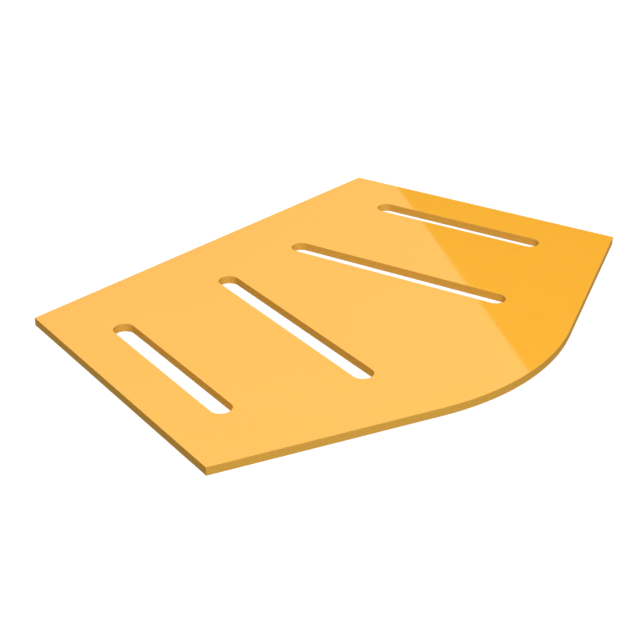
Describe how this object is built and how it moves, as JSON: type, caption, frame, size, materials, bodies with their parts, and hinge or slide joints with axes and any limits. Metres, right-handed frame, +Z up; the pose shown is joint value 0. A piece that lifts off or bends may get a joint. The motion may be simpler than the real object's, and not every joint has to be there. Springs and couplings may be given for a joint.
{
  "type": "wear plate",
  "caption": "Flat painted steel wear plate with flared sides, swept front edges, a rounded nose and slanted weld slots cut through it.",
  "frame": {"origin": "on the underside, under the middle of the plate's outer box", "axes": "+X along the straight back edge, +Y from the rounded nose to the back edge, +Z up through the thickness, out of the wear face"},
  "size_m": [1.143, 0.7851, 0.016],
  "materials": {
    "yellow_paint": "gloss"
  },
  "bodies": {
    "root": {"wear_plate": "yellow_paint"}
  },
  "joints": []
}
